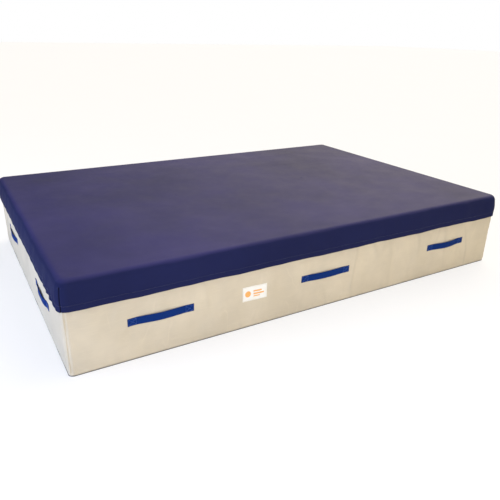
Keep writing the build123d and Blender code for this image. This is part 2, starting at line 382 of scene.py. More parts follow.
def vinyl_material(name, base):
    """Vinyl-coated polyester: satin on top and matt on the walls, the top lightened by dust and by painted
    sheen, the scrim showing faintly.
    """
    shade = Shade(name, specular=0.10)
    weave = woven(shade, 0.0013, "UV", 0.00012, 0.35)
    grain = shade.noise(900.0, 2.0)
    cloud = shade.noise(1.6, 4.0, 0.6)
    rub = shade.noise(6.0, 6.0, 0.7)
    top = shade.facing_up(0.60, 0.985)
    tone = shade.over(cloud, 0.3, 0.7, scaled(base, 0.90), scaled(base, 1.12))
    tone = shade.over(rub, 0.58, 0.82, tone, tinted(base, 1.8, 1.6, 1.2), (0.0, 0.25))
    tone = shade.over(weave, 0.0, 0.6, tone, scaled(base, 0.7), (0.18, 0.0))
    # painted sheen and dust: upward faces are mixed towards a lighter lilac tone that stands partly for the
    # light the top reflects
    shade.colour(shade.blend(top, tone, shade.blend(cloud, tone, DUST_AND_SHEEN)))
    matt = shade.math("MULTIPLY", shade.math("SUBTRACT", 1.0, top), 0.42)
    shade.rough(shade.math("ADD", shade.span(rub, 0.3, 0.75, 0.46, 0.56), matt))
    shade.bump(grain, 0.00025, 0.3)
    return shade.material


def webbing_material(name, base):
    """Polypropylene webbing: fine ribs across the strap and a herringbone along it."""
    shade = Shade(name, roughness=0.8, specular=0.05)
    ribs = shade.ribs(0.0018)
    left = shade.ribs(0.0042, turn=math.radians(38))
    right = shade.ribs(0.0042, turn=math.radians(-38))
    both = shade.math("MULTIPLY", ribs, shade.math("MAXIMUM", left, right))
    fuzz = shade.noise(1400.0, 2.0)
    tone = shade.over(both, 0.1, 0.9, scaled(base, 0.62), scaled(base, 1.18))
    shade.colour(shade.over(fuzz, 0.5, 0.75, tone, scaled(base, 1.6), (0.0, 0.3)))
    shade.bump(both, 0.0005, 0.7)
    return shade.material


def thread_material(name, base):
    """Twisted sewing thread."""
    shade = Shade(name, roughness=0.55, specular=0.4, sheen=0.3)
    twist = shade.noise(2600.0, 2.0)
    shade.colour(shade.over(twist, 0.3, 0.7, scaled(base, 0.7), scaled(base, 1.2)))
    shade.bump(twist, 0.0002, 0.5)
    return shade.material


def pile_material(name, base, scale, height):
    """Hook or loop tape: a dense field of tiny hooks or loops."""
    shade = Shade(name, roughness=0.95, specular=0.1, sheen=0.5)
    tufts = shade.noise(scale, 4.0, 0.7)
    shade.colour(shade.over(tufts, 0.35, 0.7, scaled(base, 0.55), scaled(base, 1.25)))
    shade.bump(tufts, height, 0.9)
    return shade.material


def foam_material(name, base):
    """Open-cell foam: fine pores and a few large ones, yellowed in patches."""
    shade = Shade(name, roughness=0.98, specular=0.05)
    pores = shade.noise(600.0, 3.0, 0.7)
    age = shade.noise(3.0, 3.0)
    tone = shade.over(age, 0.35, 0.65, base, tinted(base, 0.95, 0.88, 0.7))
    shade.colour(shade.over(pores, 0.3, 0.55, tone, scaled(base, 0.5), (0.5, 0.0)))
    shade.bump(pores, 0.001, 0.6)
    return shade.material


def floor_sheet_material(name, base):
    """Non-slip coated sheet with rows of small raised dots."""
    shade = Shade(name, roughness=0.8, specular=0.3)
    crossed = shade.math("MULTIPLY", shade.ribs(0.006, "Object", "X"), shade.ribs(0.006, "Object", "Y"))
    dots = shade.span(crossed, 0.55, 0.75)
    scuffs = shade.noise(14.0, 5.0, 0.65)
    tone = shade.over(scuffs, 0.4, 0.7, scaled(base, 0.85), scaled(base, 1.25))
    shade.colour(shade.blend(dots, tone, scaled(base, 0.6)))
    shade.bump(dots, 0.0008, 0.8)
    return shade.material


def label_material(name, base):
    """Coated label cloth, very fine weave, a little creased and yellowed in patches."""
    shade = Shade(name, roughness=0.5, specular=0.4)
    weave = woven(shade, 0.0008, "UV", 0.0001, 0.3)
    age = shade.noise(25.0, 4.0, 0.6)
    tone = shade.over(age, 0.4, 0.75, base, tinted(base, 1, 0.97, 0.9))
    shade.colour(shade.over(weave, 0.0, 0.5, tone, scaled(base, 0.85), (0.08, 0.0)))
    shade.bump(age, 0.0006, 0.2)
    return shade.material


def ink_material(name, base, cloth):
    """Screen-printed ink that lets the cloth show through at its thin spots."""
    shade = Shade(name, roughness=0.45, specular=0.4)
    thin = shade.noise(420.0, 3.0, 0.7)
    shade.colour(shade.over(thin, 0.55, 0.75, base, cloth, (0.0, 0.5)))
    shade.bump(thin, 0.0001, 0.3)
    return shade.material


def metal_material(name, base):
    """Plated zinc: fine brushing, darker where fingers rub it."""
    shade = Shade(name, roughness=0.32, specular=0.5, metallic=1.0)
    brush = shade.noise(1.0, 3.0, at=shade.place((60, 60, 2400)))
    tarnish = shade.noise(180.0, 4.0)
    shade.colour(shade.over(tarnish, 0.4, 0.7, base, scaled(base, 0.72)))
    shade.rough(shade.span(brush, 0.3, 0.7, 0.24, 0.42))
    shade.bump(brush, 0.00005, 0.4)
    return shade.material


def coil_material(name, base):
    """Moulded nylon filament."""
    shade = Shade(name, roughness=0.38, specular=0.5)
    mottle = shade.noise(500.0, 3.0)
    shade.colour(shade.over(mottle, 0.35, 0.65, scaled(base, 0.88), scaled(base, 1.06)))
    shade.bump(mottle, 0.0001, 0.3)
    return shade.material


side_canvas = canvas_material("side_canvas_weave", CANVAS_COLOUR)
plain_canvas = canvas_material("plain_canvas_weave", scaled(CANVAS_COLOUR, 0.92), "Object")
cover_vinyl = vinyl_material("cover_vinyl_navy", NAVY)
handle_webbing = webbing_material("handle_webbing_blue", WEBBING_BLUE)
blue_thread = thread_material("blue_thread", (0.05, 0.13, 0.46))
navy_thread = thread_material("navy_thread", (0.016, 0.018, 0.055))
# near-black strips for the cover's corner darts: painted shade of the darts' folds
painted_shade_binding = webbing_material("painted_shade_binding", (0.0022, 0.0022, 0.0065))
ecru_thread = thread_material("ecru_thread", (0.66, 0.58, 0.42))
hook_pile = pile_material("hook_pile", (0.03, 0.03, 0.035), 1500.0, 0.0010)
loop_pile = pile_material("loop_pile", (0.62, 0.58, 0.48), 1100.0, 0.0012)
soft_foam = foam_material("soft_foam_cells", (0.80, 0.73, 0.50))
firm_foam = foam_material("firm_foam_cells", (0.40, 0.43, 0.48))
floor_sheet = floor_sheet_material("floor_sheet_dots", (0.16, 0.155, 0.145))
label_cloth = label_material("label_cloth", (0.84, 0.82, 0.74))
label_ink = ink_material("label_ink", (0.84, 0.40, 0.09), (0.86, 0.80, 0.70))
zip_metal = metal_material("zip_plated_metal", (0.66, 0.66, 0.68))
zip_nylon = coil_material("zip_nylon", (0.60, 0.53, 0.40))

CAD_MATERIALS = {
    "foam_block": soft_foam,
    "foam_top": firm_foam,
    "hook_tape": hook_pile,
    "loop_tape": loop_pile,
    "bottom_sheet": floor_sheet,
    "handle_backing": plain_canvas,
    "zip_tape": plain_canvas,
    "zip_coil": zip_nylon,
    "zip_end": zip_nylon,
    "zip_slider": zip_metal,
    "zip_pull": zip_metal,
}


def dress_cad_nodes():
    """Gives every CAD node that stays in view its own procedural material."""
    for name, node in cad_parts.items():
        for start, material in CAD_MATERIALS.items():
            if name.startswith(start):
                node.data.materials.clear()
                node.data.materials.append(material)
                break


# ---- outline shared by the canvas and the cover
def eased_steps(count):
    """Positions from -1 to 1, closer together towards both ends."""
    u = np.linspace(-1, 1, count)
    return u + 0.62 * np.sin(math.pi * u) / math.pi


def outline_columns(long_count, short_count, corner_count):
    """Columns round the outline: (side index, straight position from -1 to 1, corner angle).

    They start in the middle of the front-left corner and run anticlockwise seen from above, each
    side from the middle of one corner to the middle of the next, so a side's columns are a slice.
    """
    columns = []
    for quarter in range(4):
        count = long_count if quarter % 2 == 0 else short_count
        columns += [(quarter, -1.0, -math.pi / 4 * (1 - i / corner_count)) for i in range(corner_count)]
        columns += [(quarter, t, 0.0) for t in eased_steps(count)]
        columns += [(quarter, 1.0, math.pi / 4 * (i / corner_count)) for i in range(1, corner_count)]
    return columns


CANVAS_COLUMNS = outline_columns(200, 140, 22)
TOP_COLUMNS = outline_columns(110, 76, 14)
COVER_COLUMNS = outline_columns(190, 140, 22)


def outline_ring(columns, half_x, half_y, radius):
    """Points and outward directions of a rounded rectangle at the given columns."""
    places = np.zeros((len(columns), 2))
    normals = np.zeros((len(columns), 2))
    for k, (quarter, t, angle) in enumerate(columns):
        run, depth = (half_x, half_y) if quarter % 2 == 0 else (half_y, half_x)
        local = np.array([t * (run - radius), -(depth - radius)])
        normal = np.array([math.sin(angle), -math.cos(angle)])
        turn = quarter * math.pi / 2
        spin = np.array([[math.cos(turn), -math.sin(turn)], [math.sin(turn), math.cos(turn)]])
        places[k] = spin @ (local + radius * normal)
        normals[k] = spin @ normal
    return places, normals


def path_lengths(points):
    """Distance along a path up to each of its points."""
    steps = np.linalg.norm(np.diff(points, axis=0), axis=1)
    return np.concatenate([[0.0], np.cumsum(steps)])


def ring_normals(ring):
    """Level outward directions at the points of a closed ring."""
    tangents = np.roll(ring, -1, axis=0) - np.roll(ring, 1, axis=0)
    return unit(np.column_stack([tangents[:, 1], -tangents[:, 0], np.zeros(len(ring))]))


def shell_rings(columns, profile, half, corner):
    """Rings that shrink by the profile: (inset, height, run up the cloth, places, directions)."""
    run, earlier = 0.0, profile[0]
    for inset, z in profile:
        run += math.hypot(inset - earlier[0], z - earlier[1])
        earlier = (inset, z)
        radius = min(max(corner - inset, 0.010 + 0.006 * inset), 0.6 * (half[1] - inset))
        yield inset, z, run, *outline_ring(columns, half[0] - inset, half[1] - inset, radius)


def shell_uv(places, run, on_top):
    """Cloth coordinates of a ring: the plan on top, and distances round and up on the walls."""
    if on_top:
        return places
    return np.column_stack([path_lengths(places), np.full(len(places), run)])


def shell_faces(rings, columns):
    """Quads between rings, and those that join the innermost ring's front half to its rear half."""
    size = len(columns)
    first = (rings - 1) * size
    left_middle = next(k for k, c in enumerate(columns) if c[0] == SIDES["left"] and c[1] > 0 and c[2] == 0)
    order = [first + (left_middle + k) % size for k in range(size)]
    halves = range(size // 2 - 1)
    middle = [(order[k], order[k + 1], order[size - 2 - k], order[size - 1 - k]) for k in halves]
    return grid_faces(rings, size, closed=True) + middle


def ripple(a, b, waves):
    """A smooth uneven field: a sum of sine waves given as (size, length in a, length in b, phase)."""
    total = np.zeros(np.broadcast(a, b).shape)
    for size, length_a, length_b, phase in waves:
        total = total + size * np.sin(2 * math.pi * (a / length_a + b / length_b) + phase)
    return total


def bell(x, centre, width):
    return np.exp(-(((x - centre) / width) ** 2))


def ramp(x, low, high):
    t = np.clip((x - low) / (high - low), 0, 1)
    return t * t * (3 - 2 * t)


def soft_limit(value, low, high):
    """Bends a field so that it never passes its limits."""
    return np.where(value > 0, high * np.tanh(value / high), -low * np.tanh(-value / low))


# ---- cloth simulation
FOLDS = {}  # name of a sheet: (its simulated folds, the grid's rows, the grid's places)
SETTLE_FRAMES = 24
SEWN = 1.0
STRAP_HOLD = 0.9
FOAM_HOLD = 0.03
WALL_STEP = 0.0145
WALL_ROWS = 26
WALL_SLACK = 0.0018
WALL_FOLD_SHARE = 1.1
COVER_FOLD_SHARE = 0.5
WALL_LIMIT = 0.0048
SKIRT_STEP = 0.0125
SKIRT_ROWS = 13
SKIRT_HOLD = 0.02
SKIRT_TAPE_HOLD = 0.25
SKIRT_SLACK = 0.0030
SKIRT_LIMIT = 0.0030
TOP_MARGIN = 0.02
TOP_SLACK = 0.0016
TOP_HOLD = 0.05
TOP_LIMIT = 0.0034
TOP_START = [(0.0010, 0.61, 0.83, 0.3), (0.0008, -0.37, 0.49, 1.4), (0.0006, 0.23, -0.31, 2.2)]


def settled(points, hold, slack, pressure, stiffness, bending, weight=0.4):
    """Lets a slightly oversized grid of cloth settle with Blender's cloth; returns its points.

    hold is each point's tie to its place: 1 where it is sewn, a little where foam backs it.
    """
    scene = bpy.context.scene
    mesh = bpy.data.meshes.new("settling")
    mesh.from_pydata(points.reshape(-1, 3).tolist(), [], grid_faces(*hold.shape))
    sheet = bpy.data.objects.new("settling", mesh)
    scene.collection.objects.link(sheet)
    group = sheet.vertex_groups.new(name="hold")
    levels = np.round(hold.ravel(), 2)
    for level in np.unique(levels):
        group.add(np.nonzero(levels == level)[0].tolist(), float(level), "REPLACE")
    cloth = sheet.modifiers.new("cloth", "CLOTH")
    settings = cloth.settings
    settings.quality = 6
    settings.mass = 0.35
    settings.air_damping = 4.0
    settings.tension_stiffness = stiffness
    settings.compression_stiffness = stiffness
    settings.shear_stiffness = stiffness / 3
    settings.bending_stiffness = bending
    settings.vertex_group_mass = "hold"
    settings.pin_stiffness = 2.0
    settings.shrink_min = -slack
    settings.use_pressure = True
    settings.uniform_pressure_force = pressure
    settings.effector_weights.gravity = weight
    cloth.collision_settings.use_collision = False
    cloth.point_cache.frame_start = 1
    cloth.point_cache.frame_end = SETTLE_FRAMES
    for frame_number in range(1, SETTLE_FRAMES + 1):
        scene.frame_set(frame_number)
    shape = sheet.evaluated_get(bpy.context.evaluated_depsgraph_get())
    result = np.zeros(points.size)
    shape.data.vertices.foreach_get("co", result)
    bpy.data.objects.remove(sheet)
    bpy.data.meshes.remove(mesh)
    scene.frame_set(1)
    return result.reshape(points.shape)


def settle_wall(side):
    """Simulates one side's canvas, sewn at its edges and straps, and keeps its folds."""
    half_run = half_side(side, BLOCK_X, BLOCK_Y)
    places = np.linspace(-half_run, half_run, int(2 * half_run / WALL_STEP))
    rows = np.linspace(SHEET_TOP, TAPE_LOW, WALL_ROWS)
    a, z = np.meshgrid(places, rows)
    start = 0.0010 * np.sin(9.0 * a + 5.0 * z + SIDES[side]) + 0.0008 * np.sin(31.0 * a - 17.0 * z)
    hold = np.full(a.shape, FOAM_HOLD)
    hold[0], hold[-1], hold[:, 0], hold[:, -1] = SEWN, SEWN, SEWN, SEWN
    start[hold == SEWN] = 0
    for _, root, height in sewn_ends(side):
        hold[(np.abs(a - root) < SEWN_LONG / 2) & (np.abs(z - height) < STRAP_WIDE / 2)] = STRAP_HOLD
    if side == "rear":
        hold[np.abs(z - ZIP_Z) < 0.025] = STRAP_HOLD
    result = settled(np.stack([a, -start, z], axis=-1), hold, WALL_SLACK, 0.5, 45, 25)
    out = -result[..., 1] * WALL_FOLD_SHARE
    FOLDS["wall_" + side] = (soft_limit(out, 0.0012, WALL_LIMIT), rows, places)


def settle_skirt(side):
    """Simulates one side of the cover's skirt, held at its tape and along the top edge."""
    half_run = half_side(side, COVER_X, COVER_Y)
    places = np.linspace(-half_run, half_run, int(2 * half_run / SKIRT_STEP))
    rows = np.linspace(HEM_Z, COVER_TOP - 0.01, SKIRT_ROWS)
    a, z = np.meshgrid(places, rows)
    start = 0.0008 * np.sin(14.0 * a + 8.0 * z + 2 * SIDES[side]) + 0.0006 * np.sin(47.0 * a - 21.0 * z)
    hold = np.full(a.shape, SKIRT_HOLD)
    hold[(z > TAPE_LOW) & (z < TAPE_HIGH)] = SKIRT_TAPE_HOLD
    hold[-1], hold[:, 0], hold[:, -1] = SEWN, SEWN, SEWN
    start[hold == SEWN] = 0
    result = settled(np.stack([a, -start, z], axis=-1), hold, SKIRT_SLACK, 0.3, 40, 12)
    out = -result[..., 1] * COVER_FOLD_SHARE
    FOLDS["skirt_" + side] = (soft_limit(out, 0.0010, SKIRT_LIMIT), rows, places)


def settle_top():
    """Simulates the cover's top lying on the foam, and keeps its folds."""
    places = np.linspace(-COVER_X + TOP_MARGIN, COVER_X - TOP_MARGIN, 124)
    rows = np.linspace(-COVER_Y + TOP_MARGIN, COVER_Y - TOP_MARGIN, 84)
    x, y = np.meshgrid(places, rows)
    start = ripple(x, y, TOP_START)
    hold = np.full(x.shape, TOP_HOLD)
    hold[0], hold[-1], hold[:, 0], hold[:, -1] = SEWN, SEWN, SEWN, SEWN
    start[hold == SEWN] = 0
    result = settled(np.stack([x, y, start], axis=-1), hold, TOP_SLACK, 0.1, 40, 40, 0.0)
    FOLDS["top"] = (soft_limit(result[..., 2] * COVER_FOLD_SHARE, TOP_LIMIT, TOP_LIMIT), rows, places)


def settle_cloth():
    for side in SIDES:
        settle_wall(side)
        settle_skirt(side)
    settle_top()


def folds(name, rows, places):
    if name not in FOLDS:
        return np.zeros(np.broadcast(rows, places).shape)
    values, grid_rows, grid_places = FOLDS[name]
    r = np.interp(rows, grid_rows, np.arange(len(grid_rows)))
    c = np.interp(places, grid_places, np.arange(len(grid_places)))
    r0 = np.clip(np.floor(r).astype(int), 0, len(grid_rows) - 2)
    c0 = np.clip(np.floor(c).astype(int), 0, len(grid_places) - 2)
    fr, fc = r - r0, c - c0
    low = values[r0, c0] * (1 - fc) + values[r0, c0 + 1] * fc
    high = values[r0 + 1, c0] * (1 - fc) + values[r0 + 1, c0 + 1] * fc
    return low * (1 - fr) + high * fr


# ---- the canvas block
CANVAS_WAVES = [
    (0.0009, 0.83, 1.9, 0.4),
    (0.0007, 0.47, -1.3, 1.9),
    (0.0005, 0.29, 0.9, 3.3),
    (0.0003, 0.17, -0.6, 5.1),
]
WALL_SWELL = 0.0035
SEWN_DIMPLE = 0.0012
PULL_CREASES = ((0.25, 0.0011), (-0.35, 0.0008))  # (lean, size) of the creases below a sewn end
CORNER_CREASE_X = -1.25
CORNER_CREASE = 0.0018


def strap_pulls(side, along, z):
    """The dimple at each sewn strap end and the creases that hang from it."""
    out = 0.0
    for end, root, height in sewn_ends(side):
        dx, dz = along - root, z - height
        out = out - SEWN_DIMPLE * np.exp(-(dx / 0.045) ** 2 - (dz / 0.035) ** 2)
        below = ramp(-dz, 0.018, 0.040) * (1 - ramp(-dz, 0.07, 0.16))
        for lean, size in PULL_CREASES:
            out = out + size * bell(dx - lean * dz, 0.012 * end, 0.008) * below
    return out


def corner_crease(along, z):
    """The crease under the hem between the front's left handle and the corner."""
    line = bell(along - CORNER_CREASE_X - 0.25 * (z - 0.30), 0, 0.011)
    return CORNER_CREASE * line * ramp(z, 0.23, 0.29) * (1 - ramp(z, 0.325, 0.345))


def wall_offset(side, along, z):
    """How far the canvas stands out from (or in from) its flat place, on one side of the block."""
    along = np.asarray(along, float)
    z = np.asarray(z, float)
    free = ramp(z, 0.004, 0.05) * (1 - ramp(z, TAPE_LOW - 0.055, TAPE_LOW - 0.004))
    ends = ramp(half_side(side, BLOCK_X, BLOCK_Y) - np.abs(along), 0.03, 0.16)
    swell = WALL_SWELL * np.sin(math.pi * np.clip((z - 0.004) / (TAPE_LOW - 0.004), 0, 1)) ** 0.8
    slack = ripple(along + 3.7 * SIDES[side], z, CANVAS_WAVES)
    out = free * (ends * (swell + slack) + 0.3 * slack) + folds("wall_" + side, z, along)
    out = out + free * strap_pulls(side, along, z)
    if side == "front":
        out = out + corner_crease(along, z)
    if side == "rear":
        out = out * (1 - bell(z, ZIP_Z, 0.030))
    return out


def seam_ridge(from_seam, z):
    """The pinched corner seam: a raised lip between two shallow grooves, flat under the cover."""
    ridge = 0.0030 * bell(from_seam, 0, 0.0022) - 0.0014 * bell(from_seam, 0.0068, 0.0028)
    pucker = 1 + 0.25 * np.sin(2 * math.pi * z / 0.021) + 0.15 * np.sin(2 * math.pi * z / 0.013 + 1.1)
    shown = ramp(z, SHEET_TOP + 0.002, SHEET_TOP + 0.016) * (1 - ramp(z, HEM_Z - 0.012, HEM_Z + 0.006))
    return ridge * pucker * shown


def add_canvas_panel(name, side, rows, lip=None):
    """One side's canvas as a grid from corner seam to corner seam; lip bends its rows at the zip."""
    quarter = SIDES[side]
    columns = [c for c in CANVAS_COLUMNS if c[0] == quarter]
    columns.append(((quarter + 1) % 4, -1.0, -math.pi / 4))
    places, normals = outline_ring(columns, BLOCK_X, BLOCK_Y, BLOCK_CORNER)
    lengths = path_lengths(places)
    from_seam = np.minimum(lengths, lengths[-1] - lengths)
    along, z = np.meshgrid(lengths - lengths[-1] / 2, rows)
    if lip:
        z = lip(z, along)
    tuck = 0.0020 * bell(z, SHEET_TOP, 0.004) + 0.0015 * bell(z, SEAM_Z, 0.004)
    out = wall_offset(side, along, z) + seam_ridge(from_seam, z) - tuck
    points = np.concatenate([places + normals * out[..., None], z[..., None]], axis=-1)
    panel = add_piece(
        name, points, grid_faces(*z.shape), side_canvas, "mat_block", "side_canvas",
        np.stack([along, z], axis=-1), CANVAS_THICK, [f"{side}_panel"],
    )
    run = 2 * half_side(side, BLOCK_X, BLOCK_Y)


def slit_closing(along):
    """How far each lip of the slit bends in: not at all along the zip, and shut past its ends."""
    return SLIT_HALF_Z * ramp(np.abs(along), SLIT_HALF_X - 0.006, SLIT_HALF_X + 0.004) - 0.0001


def add_canvas():
    """The four sides; the rear one is two panels, above and below the zip."""
    eased = np.linspace(0, 1, 52)
    eased = eased - 0.10 * np.sin(2 * math.pi * eased)
    for side in ("front", "right", "left"):
        add_canvas_panel(f"{side}_canvas", side, SHEET_TOP + (SEAM_Z - SHEET_TOP) * eased)

    low = np.linspace(SHEET_TOP, ZIP_Z - SLIT_HALF_Z, 14)
    high = np.linspace(ZIP_Z + SLIT_HALF_Z, SEAM_Z, 44)

    def lower_lip(z, along):
        return z + ((z - low[0]) / (low[-1] - low[0])) ** 4 * slit_closing(along)

    def upper_lip(z, along):
        return z - ((high[-1] - z) / (high[-1] - high[0])) ** 8 * slit_closing(along)

    add_canvas_panel("rear_canvas_lower", "rear", low, lower_lip)
    add_canvas_panel("rear_canvas_upper", "rear", high, upper_lip)


def add_block_top():
    """The canvas over the foam, under the cover: soft edges and a seam to the side panels."""
    edge = BLOCK_TOP_EDGE
    angles = np.linspace(0, math.pi / 2, 9)
    profile = [(0.0, SEAM_Z + 0.0004)]
    profile += [(edge * (1 - math.cos(a)), BLOCK_TOP - edge + edge * math.sin(a)) for a in angles]
    profile += [(inset, BLOCK_TOP) for inset in np.linspace(edge, BLOCK_Y - 0.012, 34)[1:]]
    points, uvs = [], []
    for inset, z, run, places, _ in shell_rings(TOP_COLUMNS, profile, (BLOCK_X, BLOCK_Y), BLOCK_CORNER):
        unevenness = 1 + np.sin(9 * path_lengths(places)) * np.sin(11 * inset)
        points.append(np.column_stack([places, z - 0.0007 * ramp(inset, 0.03, 0.3) * unevenness]))
        uvs.append(shell_uv(places, run, on_top=inset > 0.03))
    top = add_piece(
        "block_top_canvas", points, shell_faces(len(points), TOP_COLUMNS), plain_canvas,
        "mat_block", "side_canvas", uvs, CANVAS_THICK, ["block_top_panel"],
    )


# ---- the cover
TOP_WAVES = [
    (0.0016, 1.30, 2.10, 0.7),
    (0.0012, -0.90, 0.80, 2.4),
    (0.0008, 0.55, -0.70, 4.0),
    (0.0005, 0.37, 0.41, 1.2),
]
SKIRT_WAVES = [
    (0.0014, 0.74, 1.10, 0.2),
    (0.0010, 0.41, -0.70, 2.9),
    (0.0006, 0.23, 0.50, 4.4),
]
HEM_WAVES = [(0.0016, 0.61, 1, 0.9), (0.0009, 0.27, 1, 2.2)]
CRUMPLE_WAVES = [(0.0030, 0.073, 0.45, 0.3), (0.0016, 0.041, -0.30, 1.7)]
SKIRT_LEAN = 0.004
SKIRT_PUFF = 0.0030
HEM_FLARE = 0.0015
CROWN = 0.005


def cover_profile():
    """(inset, height) of the cover's rings, from the hem up and over the top."""
    shoulder = COVER_TOP - COVER_EDGE
    rows = []
    for t in np.linspace(0, 1, 19) ** 1.35:
        puff = SKIRT_PUFF * math.sin(math.pi * max(0.0, (t - 0.15) / 0.85))
        flare = HEM_FLARE * (1 - min(1.0, t / 0.25)) ** 2
        rows.append((SKIRT_LEAN * t**2 - puff - flare, HEM_Z + (shoulder - HEM_Z) * t))
    start = rows[-1][0]
    for angle in np.linspace(0, math.pi / 2, 11)[1:]:
        rows.append((start + COVER_EDGE * (1 - math.cos(angle)), shoulder + COVER_EDGE * math.sin(angle)))
    edge_end = start + COVER_EDGE
    near = np.linspace(edge_end, edge_end + 0.10, 8)[1:]
    inner = np.linspace(edge_end + 0.10, COVER_Y - 0.015, 40)[1:]
    return rows + [(inset, COVER_TOP) for inset in np.concatenate([near, inner])]


def skirt_folds(places, quarter, z):
    """The simulated folds of the skirt at one height, side by side round the outline."""
    total = np.zeros(len(places))
    for side, number in SIDES.items():
        mine = quarter == number
        along = along_side(side, places[mine, 0], places[mine, 1])
        total[mine] = folds("skirt_" + side, np.full(along.shape, z), along)
    return total


def left_front_crumple(places, quarter, z):
    """The gathered stretch of skirt on the left side, next to the front corner."""
    near = (quarter == SIDES["left"]) & (places[:, 0] < 0)
    y = places[:, 1]
    zone = ramp(y, -COVER_Y + 0.05, -COVER_Y + 0.10) * (1 - ramp(y, -COVER_Y + 0.28, -COVER_Y + 0.42))
    fade = 1 - ramp(z, HEM_Z + 0.02, HEM_Z + 0.10)
    return np.where(near, zone * ripple(y, z, CRUMPLE_WAVES) * fade, 0.0)


def cover_offsets(inset, z, places, quarter, at_seam):
    """How far one ring of the cover stands out and up from its plain shape."""
    lengths = path_lengths(places)
    skirt = 1 - ramp(z, COVER_TOP - COVER_EDGE * 0.8, COVER_TOP - 0.002)
    hem = bell(z, HEM_Z, 0.05)
    dart = 1 - ramp(z, COVER_TOP - 0.045, COVER_TOP - 0.020)
    seam = 0.0010 * bell(at_seam, 0.0075, 0.0040) - 0.0018 * bell(at_seam, 0, 0.0026)
    crumple = left_front_crumple(places, quarter, z)
    hang = ripple(lengths, z, SKIRT_WAVES) * (1 - 0.7 * hem) + skirt_folds(places, quarter, z)
    out = hang * skirt + seam * dart + crumple
    x, y = places[:, 0], places[:, 1]
    top = ramp(inset, 0.02, 0.30)
    crown = CROWN * top - 0.7 * CROWN * ramp(inset, 0.3, 0.95)
    slump = top * ripple(x, y, TOP_WAVES) + ramp(inset, 0.01, 0.06) * folds("top", y, x)
    up = hem * (ripple(lengths, 0, HEM_WAVES) * skirt + 0.7 * crumple)
    return out, up + soft_limit(crown + slump, 0.0008, 0.0100)


def add_cover():
    """The cover as one sheet with four corner darts; returns its rings of points."""
    quarter = np.array([c[0] for c in COVER_COLUMNS])
    at_seam = np.array([abs(abs(c[2]) - math.pi / 4) for c in COVER_COLUMNS]) * COVER_CORNER
    rings, uvs = [], []
    for inset, z, run, places, normals in shell_rings(
        COVER_COLUMNS, cover_profile(), (COVER_X, COVER_Y), COVER_CORNER
    ):
        out, up = cover_offsets(inset, z, places, quarter, at_seam)
        rings.append(np.column_stack([places + normals * out[:, None], z + up]))
        uvs.append(shell_uv(places, run, on_top=inset > COVER_EDGE * 0.9))
    rings = np.array(rings)
    skirts = [f"cover_skirt_{side}" for side in SIDES]
    cover = add_piece(
        "top_cover", rings, shell_faces(len(rings), COVER_COLUMNS), cover_vinyl,
        "top_cover", "cover_vinyl", uvs, COVER_THICK, ["cover_top_panel", *skirts],
    )
    hem = add_hem(rings[0])
    return rings


def add_hem(edge):
    """The turned-in hem: a second layer inside the skirt, rolled under at its edge."""
    normals = ring_normals(edge)
    lengths = path_lengths(edge[:, :2])
    heights = np.linspace(0.0004, SKIRT_HEM, 8)
    layers, uvs = [], []
    for k, height in enumerate(heights):
        roll = COVER_THICK * (1 - math.cos(min(1.0, k / 1.5) * math.pi / 2))
        layers.append(edge - normals * (0.0024 + roll) + [0, 0, height])
        uvs.append(np.column_stack([lengths, np.full(len(edge), height)]))
    faces = [f[::-1] for f in grid_faces(len(heights), len(edge), closed=True)]
    return add_piece(
        "cover_hem", layers, faces, cover_vinyl, "top_cover", "cover_vinyl", uvs, HEM_THICK,
    )


# ---- stitching
def stitches(path, normals):
    """Small rounded stitches laid end to end along a path, half sunk into the cloth."""
    distance = path_lengths(path)
    count = max(1, int(distance[-1] / STITCH_PITCH))
    shares = np.array([0.0, 0.18, 0.5, 0.82, 1.0])
    fat = np.array([0.35, 0.85, 1.0, 0.85, 0.35]) * THREAD
    lift = np.array([-0.5, 0.25, 0.55, 0.25, -0.5]) * THREAD
    starts = np.arange(count)[:, None] + (1 - STITCH_FILLED) / 2
    at = (starts + STITCH_FILLED * shares) * distance[-1] / count

    def follow(values, where):
        return np.stack([np.interp(where, distance, values[:, i]) for i in range(3)], axis=-1)

    forward = unit(follow(path, at + 0.0004) - follow(path, at - 0.0004))
    normal = unit(follow(normals, at))
    across = np.cross(forward, normal)
    centre = follow(path, at) + normal * lift[:, None]
    angles = math.pi / 4 + np.arange(BAR_SIDES) * 2 * math.pi / BAR_SIDES
    around = (
        across[:, :, None, :] * 1.15 * np.cos(angles)[:, None]
        + normal[:, :, None, :] * np.sin(angles)[:, None]
    )
    points = centre[:, :, None, :] + fat[:, None, None] * around
    return points, bar_faces(len(shares), count)


def add_stitches(name, rows, material, body, slot, stands_for=()):
    """Stitches along several rows, each a (path, normals) pair."""
    points, faces = merged([stitches(path, normals) for path, normals in rows])
    add_piece(name, points, faces, material, body, slot, stands_for=stands_for)


def on_wall(side, along, z, proud):
    """Points on a side's canvas, and the wall's outward direction there."""
    points = turned(side, np.stack([along, -(wall_offset(side, along, z) + proud), z], axis=-1))
    flat = turned(side, np.stack([along, np.zeros_like(z), z], axis=-1))
    outside = turned(side, np.stack([along, -np.ones_like(z), z], axis=-1))
    return points, outside - flat


def sampled(corners):
    """A polyline's points at a steady spacing of about 4 mm."""
    out = []
    for (x0, z0), (x1, z1) in zip(corners, corners[1:]):
        count = max(2, int(math.hypot(x1 - x0, z1 - z0) / 0.004))
        out += [(x0 + (x1 - x0) * t, z0 + (z1 - z0) * t) for t in np.linspace(0, 1, count, endpoint=False)]
    return np.array(out + [corners[-1]])


def boxed(centre, height, half_long, half_high):
    """The corners of a closed upright rectangle, as (along, height)."""
    signs = ((-1, -1), (1, -1), (1, 1), (-1, 1), (-1, -1))
    return [(centre + s * half_long, height + t * half_high) for s, t in signs]


